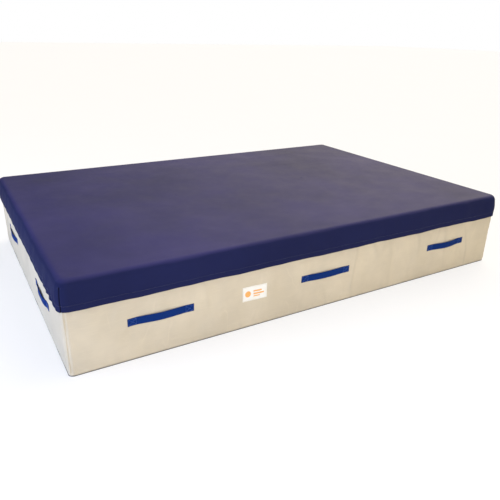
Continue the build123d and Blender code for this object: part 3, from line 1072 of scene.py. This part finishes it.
def add_handle_stitching():
    """A square and a cross on each sewn end."""
    rows = []
    for side in SIDES:
        for _, centre, height in sewn_ends(side):
            square = boxed(centre, height, SEWN_LONG / 2 - 0.005, STRAP_WIDE / 2 - 0.005)
            a, b, c, d, _ = square
            for corners in (square, [a, c], [d, b]):
                line = sampled(corners)
                rows.append(on_wall(side, line[:, 0], line[:, 1], STRAP_THICK + SUNK))
    stands_for = ["handle_stitching"]
    add_stitches("handle_box_stitches", rows, blue_thread, "mat_block", "handle_thread", stands_for)


# ---- handles
def strap_section():
    """Cross-section of the webbing: (across, outward) points, with rounded selvages."""
    half, thick = STRAP_WIDE / 2, STRAP_THICK
    front = np.linspace(-half + 0.0012, half - 0.0012, 9)
    selvage = 0.00025
    outer = [(x, thick / 2 + selvage * (abs(x) > half - 0.005)) for x in front]
    inner = [(x, -thick / 2) for x in front[::-1]]
    right = [(half - 0.0002, thick * 0.32), (half, 0.0), (half - 0.0002, -thick * 0.32)]
    left = [(-x, -out) for x, out in right]
    return outer + right + inner + left


def strap_stations():
    """Distances from the strap's middle to its outer end, closer together at the bend."""
    span = np.linspace(0, FREE_HALF - 0.012, 26)
    bend = np.linspace(FREE_HALF - 0.012, FREE_HALF + 0.006, 10)[1:]
    sewn = np.linspace(FREE_HALF + 0.006, STRAP_LONG / 2, 14)[1:]
    return np.concatenate([span, bend, sewn])


def strap_bow(x):
    """Distance of the strap's middle plane from the wall, at x from the strap's middle."""
    t = np.clip(np.abs(x) / FREE_HALF, 0, 1)
    return STRAP_BOW * (1 - t**2) ** 1.15


def strap_points(side, place, height, end):
    """Half a strap, from its middle to its outer end, with its cloth coordinates."""
    across, outward = np.array(strap_section()).T
    stations = strap_stations()
    lift = strap_bow(stations)
    slope = (strap_bow(stations + 0.0005) - strap_bow(stations - 0.0005)) / 0.001
    lean = np.sin(np.arctan(slope)) * end
    share = (lift / STRAP_BOW)[:, None]
    along = place + end * stations
    wall = wall_offset(side, along, np.full(len(stations), height))
    curl = 0.0008 * (across / (STRAP_WIDE / 2)) ** 2 * share
    x = along[:, None] - lean[:, None] * outward
    out = (lift + wall)[:, None] + STRAP_THICK / 2 + outward + curl
    z = height + across - STRAP_DROOP * share**1.5
    uvs = np.stack(np.broadcast_arrays((end * stations)[:, None], across), axis=-1)
    return turned(side, np.stack([x, -out, z], axis=-1)), uvs


def add_handle(name):
    """Two halves of one strap, each bowing out from its sewn end to the free middle."""
    side, place, height = handle_place(name)
    for end, label in ((-1, "a"), (1, "b")):
        points, uvs = strap_points(side, place, height, end)
        stations, count = points.shape[:2]
        faces = grid_faces(stations, count, closed=True)
        faces.append(tuple(range((stations - 1) * count, stations * count)))
        if end < 0:
            faces = [f[::-1] for f in faces]
        strap = make_object(f"handle_{name}_{label}", points, faces, handle_webbing, uvs)
        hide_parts(f"handle_{name}_strap", f"handle_{name}_ends")
        start = turned(side, [place + end * FREE_HALF, 0, height])
        middle = turned(side, [place + end * 0.02, 0, height])
        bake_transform(strap)


# ---- label
LABEL_BARS = [  # (width, height, x, z) of each bar, from the label's middle
    (0.052, 0.0090, 0.016, 0.012),
    (0.066, 0.0090, 0.023, -0.004),
    (0.040, 0.0060, 0.010, -0.018),
]
LABEL_DISC = (0.036, 0.036, -0.043, -0.001)
BAR_SQUARENESS = 4.0


def printed_patch(x, z, wide, tall, squareness):
    """A low printed shape: a disc at squareness 1, a bar with rounded ends above it."""
    around = 40
    angle = 2 * math.pi * np.arange(around) / around
    reach = np.abs(np.cos(angle)) ** (1 / squareness) * np.sign(np.cos(angle))
    rise = np.abs(np.sin(angle)) ** (1 / squareness) * np.sign(np.sin(angle))
    points = []
    for share, proud in ((0.02, 0.0019), (0.55, 0.0019), (0.93, 0.0019), (1.0, 0.0012)):
        ring, _ = on_wall("front", x + share * wide / 2 * reach, z + share * tall / 2 * rise, proud)
        points.append(ring)
    faces = [f[::-1] for f in grid_faces(len(points), around, closed=True)]
    return np.concatenate(points), faces


def add_label():
    """A sewn label with a plain printed device: a disc and three bars."""
    low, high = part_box("label_patch")
    middle_x, middle_z = (low.x + high.x) / 2, (low.z + high.z) / 2
    half_x, half_z = (high.x - low.x) / 2, (high.z - low.z) / 2
    c, r = np.meshgrid(np.linspace(-1, 1, 41), np.linspace(-1, 1, 25))
    x, z = middle_x + c * half_x, middle_z + r * half_z
    edge = np.maximum(np.abs(c), np.abs(r))
    proud = 0.0009 - 0.0006 * ramp(edge, 0.94, 1.0)
    proud = proud + 0.0005 * np.sin(3.1 * c + 1.3 * r) ** 2 * (1 - edge**4)
    points, _ = on_wall("front", x, z, proud)
    add_piece(
        "label", points, grid_faces(*x.shape), label_cloth, "mat_block", "label_fabric",
        np.stack([x, z], axis=-1), 0.0007, ["label_patch"],
    )
    line = sampled(boxed(middle_x, middle_z, half_x - 0.0045, half_z - 0.0045))
    rows = [on_wall("front", line[:, 0], line[:, 1], 0.0011)]
    add_stitches("label_stitches", rows, ecru_thread, "mat_block", "label_fabric")
    shapes = [(*bar, BAR_SQUARENESS) for bar in LABEL_BARS] + [(*LABEL_DISC, 1.0)]
    patches = [
        printed_patch(middle_x + x, middle_z + z, wide, tall, squareness)
        for wide, tall, x, z, squareness in shapes
    ]
    add_piece("label_print", *merged(patches), label_ink, "mat_block", "label_fabric")


# ---- zip
def add_zip_teeth():
    """Bent nylon teeth along both tapes, the lower row half a pitch along from the upper."""
    low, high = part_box("zip_coil_upper")
    middle_y, reach_y = (high.y + low.y) / 2, (high.y - low.y) / 2
    reach = np.array([0.0006, 0.0012, 0.0026, 0.0040, 0.0045])
    tall = np.array([0.55, 0.95, 1.0, 0.80, 0.45]) * reach_y
    wide = np.where(reach < 0.003, 0.00105, 0.0008)
    for sign, name in ((1, "upper"), (-1, "lower")):
        shift = 0.5 if sign > 0 else 1.0
        x = -CHAIN_HALF_X + (np.arange(int(2 * CHAIN_HALF_X / TOOTH_PITCH)) + shift) * TOOTH_PITCH
        x = x[np.abs(x) <= CHAIN_HALF_X - 0.001]
        z = ZIP_Z + sign * reach
        corners = [
            np.stack(np.broadcast_arrays(x[:, None] + i * wide, middle_y + j * tall, z), axis=-1)
            for i, j in ((-1, -1), (1, -1), (1, 1), (-1, 1))
        ]
        faces = bar_faces(len(reach), len(x))[:, ::sign]
        add_piece(
            f"zip_teeth_{name}", np.stack(corners, axis=2), faces, zip_nylon, "mat_block", "zip_coil",
            stands_for=[f"zip_coil_{name}"],
        )


def add_zip_end_tabs():
    """A sewn tab that closes the gap between the zip's tapes past each end stop."""
    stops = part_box("zip_end_stops")
    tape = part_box("zip_tape_upper")[1]
    steps = np.linspace(stops[1].x + 0.0001, tape.x - 0.0005, 5)
    reach = (stops[1].z - stops[0].z) / 2
    parts = []
    for sign in (-1, 1):
        x, rise = np.meshgrid(sign * steps, np.linspace(-1, 1, 7))
        y = tape.y + 0.0008 - 0.0003 * rise**2
        parts.append((np.stack([x, y, ZIP_Z + reach * rise], axis=-1), grid_faces(*x.shape)))
    points, faces = merged(parts)
    uv = points[:, [0, 2]]
    add_piece("zip_end_tabs", points, faces, plain_canvas, "mat_block", "zip_tape", uv, 0.0006)


# ---- seams
def add_zip_stitches():
    """Top-stitching along both lips of the zip's slit."""
    x = np.arange(-SLIT_HALF_X + 0.004, SLIT_HALF_X - 0.004, 0.02)
    heights = [ZIP_Z + sign * (SLIT_HALF_Z + 0.0045) for sign in (-1, 1)]
    rows = [on_wall("rear", x, np.full(len(x), height), SUNK) for height in heights]
    add_stitches("zip_stitches", rows, ecru_thread, "mat_block", "side_canvas")


def add_cover_corner_seams(rings):
    """The four sewn corner darts of the skirt: a narrow near-black strip that paints the shade of each
    dart's fold, and its stitches.
    """
    used = rings[:, 0, 2] < COVER_TOP - COVER_EDGE * 0.55
    wide, proud = 0.0044, 0.0014
    section = [(-1.0, -0.3), (-0.55, 0.9), (0.0, 1.25), (0.55, 0.9), (1.0, -0.3)]
    bands, rows = [], []
    for k, (_, _, angle) in enumerate(COVER_COLUMNS):
        if abs(angle + math.pi / 4) > 1e-6:
            continue
        line = rings[used, k]
        away = unit(np.sign(line) * [1, 1, 0])
        across = np.cross(away, [0, 0, 1.0])
        band = np.stack([line + across * wide * s + away * proud * h for s, h in section], axis=1)
        bands.append((band, grid_faces(*band.shape[:2])))
        rows += [(line + across * (wide + 0.0035) * s + away * 0.0004, away) for s in (-1, 1)]
    # a near-black strip on each dart: painted shade of its fold
    add_piece("cover_corner_shade_bindings", *merged(bands), painted_shade_binding, "top_cover", "cover_vinyl")
    add_stitches("cover_corner_stitches", rows, navy_thread, "top_cover", "cover_vinyl")


def add_canvas_corner_stitches():
    """A row of top-stitching at each side of the block's corner seams."""
    z = np.linspace(SHEET_TOP + 0.006, HEM_Z - 0.002, 60)
    rows = []
    for side in SIDES:
        place = half_side(side, BLOCK_X, BLOCK_Y) - BLOCK_CORNER - 0.002
        rows += [on_wall(side, np.full(len(z), end * place), z, SUNK) for end in (-1, 1)]
    add_stitches("canvas_corner_stitches", rows, ecru_thread, "mat_block", "side_canvas")


def add_hem_stitches(rings):
    """The row of stitches round the skirt that holds the hem."""
    upper = int(np.argmax(rings[:, 0, 2] > HEM_Z + SKIRT_HEM - 0.005))
    normals = ring_normals(rings[upper])
    path = rings[upper] + SUNK * normals
    rows = [(np.vstack([path, path[:1]]), np.vstack([normals, normals[:1]]))]
    add_stitches("hem_stitches", rows, navy_thread, "top_cover", "cover_vinyl")


# ---- stage, light and camera
SKY_COOL = (0.95, 1.00, 1.14)
SKY_WARM = (1.13, 1.00, 0.78)
SKY_HORIZON = 0.28
SKY_ZENITH = 3.0
SKY_LEFT = 0.30
SKY_RIGHT = 1.65
SKY_FRONT = 0.42
SKY_BACK = 1.00
FLOOR_GLOW = 0.62
FLOOR_REACH = 60.0


def whiten_for_camera(material):
    """Makes a floor nearly white to the camera, and leaves the light it gives back as it is."""
    tree = material.node_tree
    output = next(n for n in tree.nodes if n.type == "OUTPUT_MATERIAL")
    lit = output.inputs["Surface"].links[0].from_socket
    glow = linked_node(tree, "ShaderNodeEmission", [("Color", (1, 1, 1, 1))])
    path = tree.nodes.new("ShaderNodeLightPath")
    share = calculated(tree, "MULTIPLY", path.outputs["Is Camera Ray"], FLOOR_GLOW)
    links = [("Fac", share), (1, lit), (2, glow.outputs["Emission"])]
    choose = linked_node(tree, "ShaderNodeMixShader", links=links)
    tree.links.new(choose.outputs["Shader"], output.inputs["Surface"])


def add_stage():
    """A pale floor that runs out of sight."""
    shade = Shade("pale_floor", roughness=0.9, specular=0.1)
    shade.colour(shade.blend(shade.noise(0.8, 2.0), (0.93, 0.93, 0.93), (0.95, 0.95, 0.95)))
    whiten_for_camera(shade.material)
    corners = [(FLOOR_REACH * x, FLOOR_REACH * y, 0) for x, y in ((-1, -1), (1, -1), (1, 1), (-1, 1))]
    make_object("floor", corners, [(0, 1, 2, 3)], shade.material, smooth=False)


def add_area_light(name, place, target, size, power, colour):
    data = bpy.data.lights.new(name, "AREA")
    data.shape = "RECTANGLE"
    data.size, data.size_y = size
    data.energy = power
    data.color = colour
    light = bpy.data.objects.new(name, data)
    light.location = place
    aim = Vector(target) - Vector(place)
    light.rotation_euler = aim.to_track_quat("-Z", "Y").to_euler()
    bpy.context.scene.collection.objects.link(light)


def add_world():
    """White to the camera; to the mat, a soft sky: brightest overhead, cool left, warm right."""
    world = bpy.data.worlds.new("studio")
    bpy.context.scene.world = world
    world.use_nodes = True
    tree = world.node_tree
    tree.nodes.clear()
    coordinates = tree.nodes.new("ShaderNodeTexCoord")

    def along(direction, low, high, out_low, out_high):
        dot = tree.nodes.new("ShaderNodeVectorMath")
        dot.operation = "DOT_PRODUCT"
        dot.inputs[1].default_value = direction
        tree.links.new(coordinates.outputs["Generated"], dot.inputs[0])
        return spread(tree, dot.outputs["Value"], low, high, out_low, out_high)

    tint = tree.nodes.new("ShaderNodeMix")
    tint.data_type = "RGBA"
    tint.inputs[6].default_value = (*SKY_COOL, 1)
    tint.inputs[7].default_value = (*SKY_WARM, 1)
    tree.links.new(along((0.9, 0.3, 0), -0.8, 0.8, 0, 1), tint.inputs["Factor"])
    height = along((0, 0, 1), 0, 1, SKY_HORIZON, SKY_ZENITH)
    sideways = along((1, 0, 0), 0.08, 0.65, SKY_LEFT, SKY_RIGHT)
    depth = along((0, 1, 0), -0.6, 0.4, SKY_FRONT, SKY_BACK)
    level = calculated(tree, "MULTIPLY", calculated(tree, "MULTIPLY", height, sideways), depth)
    links = [("Color", tint.outputs[2]), ("Strength", level)]
    sky = linked_node(tree, "ShaderNodeBackground", links=links)
    backdrop = linked_node(tree, "ShaderNodeBackground", [("Color", (1, 1, 1, 1))])
    path = tree.nodes.new("ShaderNodeLightPath")
    links = [("Fac", path.outputs["Is Camera Ray"]), (1, sky.outputs[0]), (2, backdrop.outputs[0])]
    choose = linked_node(tree, "ShaderNodeMixShader", links=links)
    output = tree.nodes.new("ShaderNodeOutputWorld")
    tree.links.new(choose.outputs["Shader"], output.inputs["Surface"])


def add_lights():
    """The sky, a cool window to the left, and a cool and a weak warm fill in front."""
    add_world()
    add_area_light(
        "left_window", place=(-5.2, -0.6, 1.35), target=(-1.5, -0.2, 0.2), size=(3.0, 2.4),
        power=180, colour=(0.48, 0.62, 1.0),
    )
    add_area_light(
        "front_fill", place=(-1.5, -4.4, 1.4), target=(-0.5, -1.0, 0.2), size=(2.6, 1.6),
        power=69, colour=(0.72, 0.78, 1.0),
    )
    add_area_light(
        "warm_fill", place=(0.2, -3.8, 1.2), target=(0.2, -1.0, 0.2), size=(1.2, 1.0),
        power=9, colour=(1.0, 0.80, 0.45),
    )


def add_camera():
    """Looks at the front and left sides from above the front-left corner."""
    azimuth, elevation, roll = (math.radians(a) for a in (-31.0, 22.6, 1.4))
    level = math.cos(elevation)
    back = Vector((math.sin(azimuth) * level, -math.cos(azimuth) * level, math.sin(elevation)))
    right = (-back).cross(Vector((0, 0, 1))).normalized()
    up = back.cross(right)
    tilted_right = math.cos(roll) * right + math.sin(roll) * up
    tilted_up = -math.sin(roll) * right + math.cos(roll) * up
    data = bpy.data.cameras.new("camera")
    data.sensor_width = 36.0
    data.lens = 37.7
    camera = bpy.data.objects.new("camera", data)
    turn = Matrix((tilted_right, tilted_up, back)).transposed().to_4x4()
    camera.matrix_world = Matrix.Translation((-1.834, -3.179, 1.525)) @ turn
    bpy.context.scene.collection.objects.link(camera)
    bpy.context.scene.camera = camera


# ---- the whole scene
bpy.context.scene.view_settings.view_transform = "Standard"
add_camera()
add_lights()
add_stage()
dress_cad_nodes()
settle_cloth()
add_canvas()
add_block_top()
cover_rings = add_cover()
add_hem_stitches(cover_rings)
add_cover_corner_seams(cover_rings)
add_canvas_corner_stitches()
for handle_name in HANDLES:
    add_handle(handle_name)
add_handle_stitching()
add_label()
add_zip_teeth()
add_zip_end_tabs()
add_zip_stitches()
